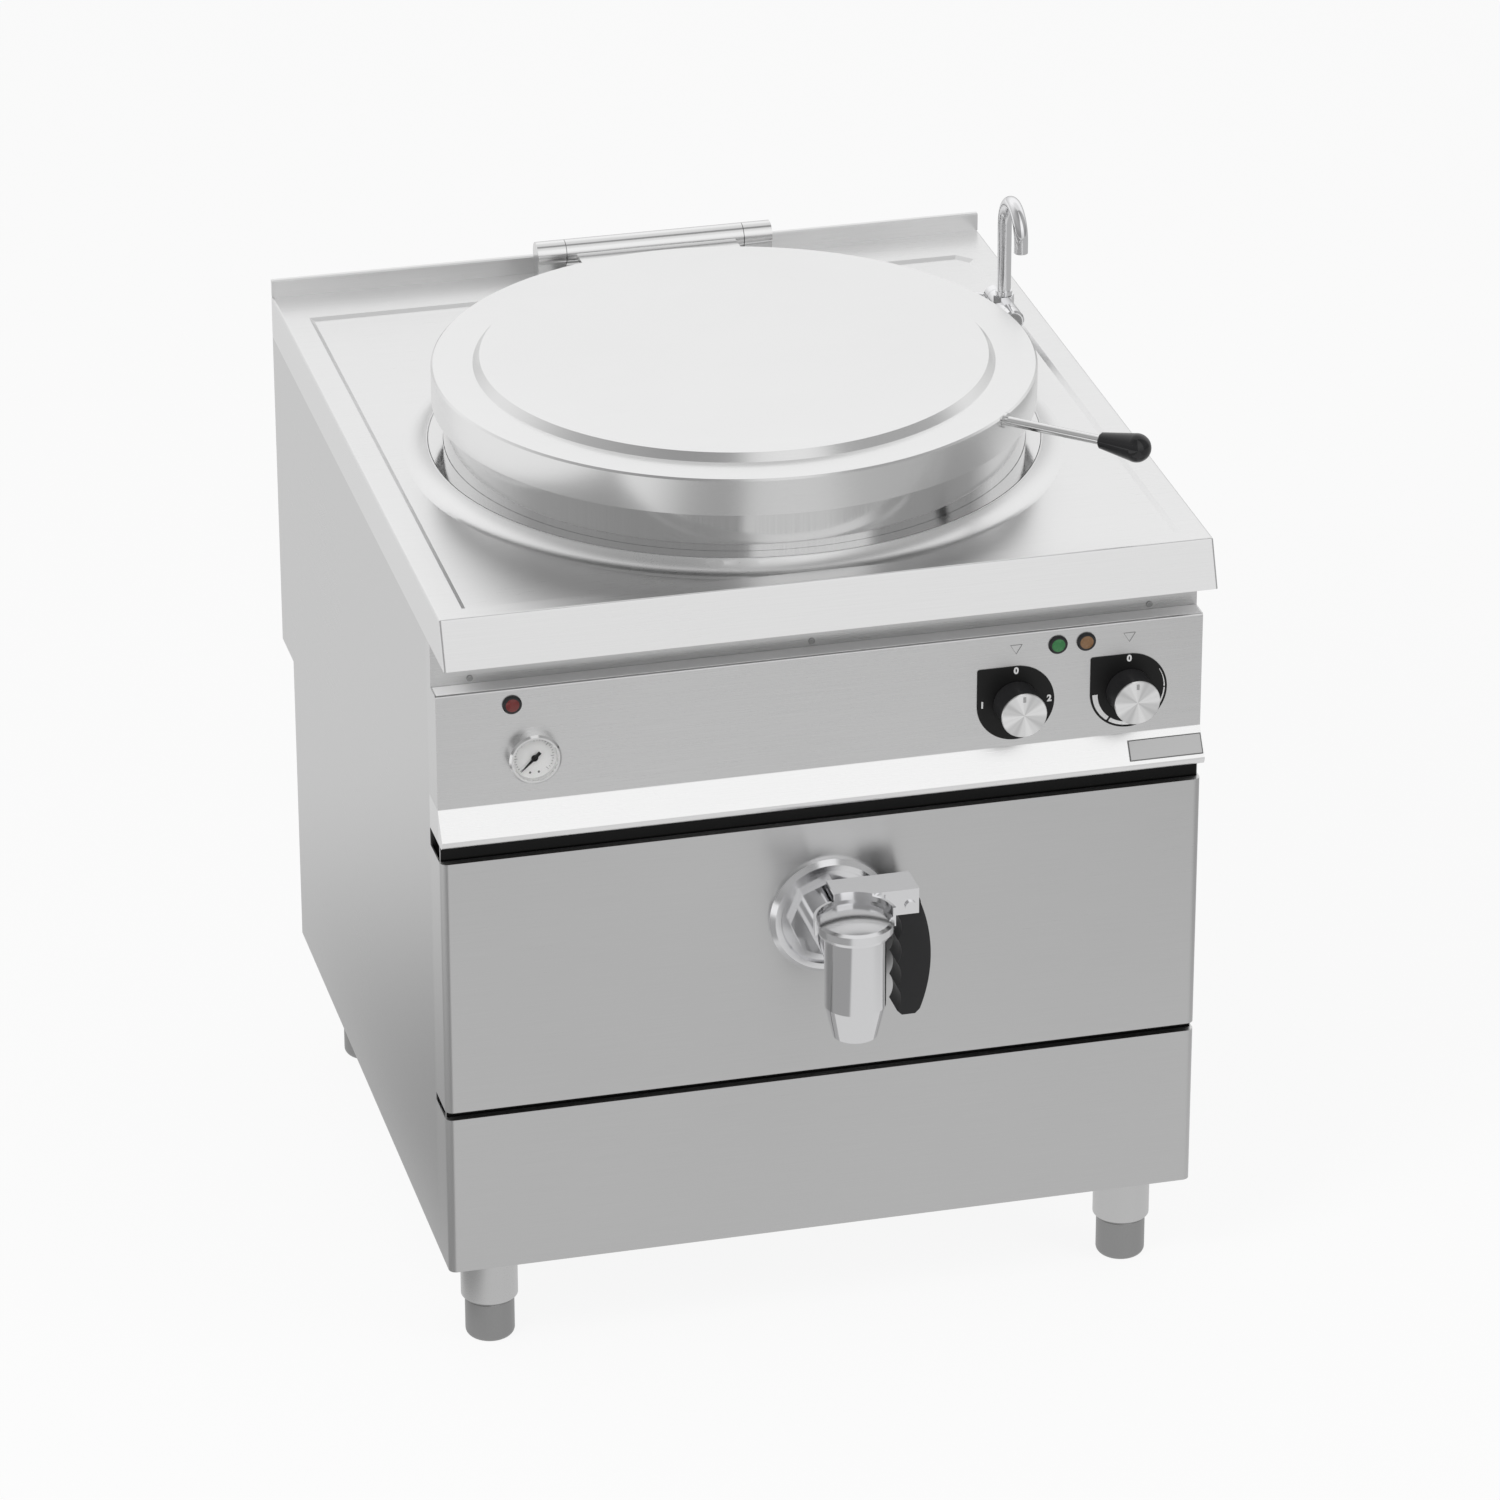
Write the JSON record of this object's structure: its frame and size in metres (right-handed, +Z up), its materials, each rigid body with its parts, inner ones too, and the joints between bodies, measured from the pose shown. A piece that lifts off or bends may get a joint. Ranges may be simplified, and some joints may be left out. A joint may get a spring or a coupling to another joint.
{
  "type": "steam jacketed kettle",
  "caption": "Free-standing boiling pan in a steel cabinet: jacketed round vessel with hinged lid, front drain tap, control panel with dials, gauge and lamps, mixer tap and adjustable feet.",
  "frame": {"origin": "on the floor, under the middle of the space the kettle takes up", "axes": "+X to the right seen from the front, +Y to the rear, +Z up"},
  "size_m": [0.8, 1, 1.0275],
  "materials": {
    "steel_top": "brushed",
    "steel_front": "brushed",
    "steel_side": "brushed",
    "steel_inner": "satin",
    "steel_polished": "polished",
    "chrome": "polished",
    "steel_plate": "galvanised",
    "mineral_wool": "matt",
    "black_plastic": "satin",
    "black_gloss": "gloss",
    "red_lens": "gloss",
    "green_lens": "gloss",
    "amber_lens": "gloss",
    "dial_white": "matt",
    "gauge_window": "clear",
    "black_paint": "satin"
  },
  "bodies": {
    "cabinet": {"amber_lamp_holder": "black_plastic", "amber_lamp_lens": "amber_lens", "base_frame": "steel_inner", "bottom_pan": "steel_plate", "cable_gland": "black_plastic", "control_panel": "steel_front", "control_rail": "steel_front", "drain_flange": "chrome", "drain_pipe": "steel_inner", "drain_valve_body": "chrome", "gauge_case": "steel_polished", "gauge_dial": "dial_white", "gauge_glass": "gauge_window", "green_lamp_holder": "black_plastic", "green_lamp_lens": "green_lens", "heating_elements": "steel_inner", "hinge_shaft": "steel_polished", "insulation": "mineral_wool", "left_hinge_sleeve": "steel_polished", "left_side_panel": "steel_side", "lower_front_panel": "steel_front", "mixer_body": "chrome", "power_plate": "black_paint", "power_regulator": "black_plastic", "rear_panel_lower": "steel_side", "rear_panel_upper": "steel_side", "rear_upstand": "steel_top", "red_lamp_holder": "black_plastic", "red_lamp_lens": "red_lens", "right_hinge_sleeve": "steel_polished", "right_side_panel": "steel_side", "selector_plate": "black_paint", "selector_switch": "black_plastic", "steam_jacket": "steel_inner", "upper_front_panel": "steel_front", "vessel": "steel_inner", "water_inlets": "chrome", "worktop": "steel_top"},
    "lid": {"lid_shell": "steel_top", "lid_liner": "steel_inner", "lid_arm": "steel_polished", "lid_handle_rod": "steel_polished", "lid_handle_knob": "black_gloss"},
    "drain_lever": {"drain_valve_cap": "chrome", "drain_valve_plug": "chrome", "lever_strap": "steel_polished", "lever_pin": "steel_polished"},
    "drain_grip": {"lever_grip": "black_gloss"},
    "selector": {"selector_knob": "black_plastic", "selector_knob_cap": "steel_front"},
    "power": {"power_knob": "black_plastic", "power_knob_cap": "steel_front"},
    "pressure_needle": {"gauge_needle": "black_paint"},
    "water_spout": {"spout": "chrome"},
    "front_valve": {"front_valve_lever": "chrome"},
    "rear_valve": {"rear_valve_lever": "chrome"},
    "front_left_leg_foot": {"front_left_foot": "steel_side"},
    "front_right_leg_foot": {"front_right_foot": "steel_side"},
    "rear_left_leg_foot": {"rear_left_foot": "steel_side"},
    "rear_right_leg_foot": {"rear_right_foot": "steel_side"}
  },
  "joints": [
    {"name": "lid_hinge", "type": "hinge", "parent": "cabinet", "child": "lid", "pos_m": [-0.008, 0.345, 0.947], "axis": [-1, 0, 0], "range_deg": [0, 85]},
    {"name": "drain_lever_turn", "type": "hinge", "parent": "cabinet", "child": "drain_lever", "pos_m": [0.004, -0.4605, 0.481], "axis": [0, 0, 1], "range_deg": [-90, 0]},
    {"name": "grip_fold", "type": "hinge", "parent": "drain_lever", "child": "drain_grip", "pos_m": [0.07, -0.409, 0.517], "axis": [0, -1, 0], "range_deg": [0, 90]},
    {"name": "selector_turn", "type": "hinge", "parent": "cabinet", "child": "selector", "pos_m": [0.202, -0.3485, 0.692], "axis": [0, 1, 0], "range_deg": [-90, 90]},
    {"name": "power_turn", "type": "hinge", "parent": "cabinet", "child": "power", "pos_m": [0.322, -0.3485, 0.692], "axis": [0, 1, 0], "range_deg": [0, 270]},
    {"name": "needle_turn", "type": "hinge", "parent": "cabinet", "child": "pressure_needle", "pos_m": [-0.301, -0.3485, 0.693], "axis": [0, 1, 0], "range_deg": [0, 270]},
    {"name": "spout_swivel", "type": "hinge", "parent": "cabinet", "child": "water_spout", "pos_m": [0.348, 0.21, 0.889], "axis": [0, 0, 1], "range_deg": [-90, 30]},
    {"name": "front_valve_turn", "type": "hinge", "parent": "cabinet", "child": "front_valve", "pos_m": [0.348, 0.184, 0.889], "axis": [0, 1, 0], "range_deg": [0, 90]},
    {"name": "rear_valve_turn", "type": "hinge", "parent": "cabinet", "child": "rear_valve", "pos_m": [0.348, 0.236, 0.889], "axis": [0, 1, 0], "range_deg": [0, 90]},
    {"name": "front_left_foot_height", "type": "slide", "parent": "cabinet", "child": "front_left_leg_foot", "axis": [0, 0, -1], "range_m": [0, 0.03]},
    {"name": "front_right_foot_height", "type": "slide", "parent": "cabinet", "child": "front_right_leg_foot", "axis": [0, 0, -1], "range_m": [0, 0.03]},
    {"name": "rear_left_foot_height", "type": "slide", "parent": "cabinet", "child": "rear_left_leg_foot", "axis": [0, 0, -1], "range_m": [0, 0.03]},
    {"name": "rear_right_foot_height", "type": "slide", "parent": "cabinet", "child": "rear_right_leg_foot", "axis": [0, 0, -1], "range_m": [0, 0.03]}
  ]
}
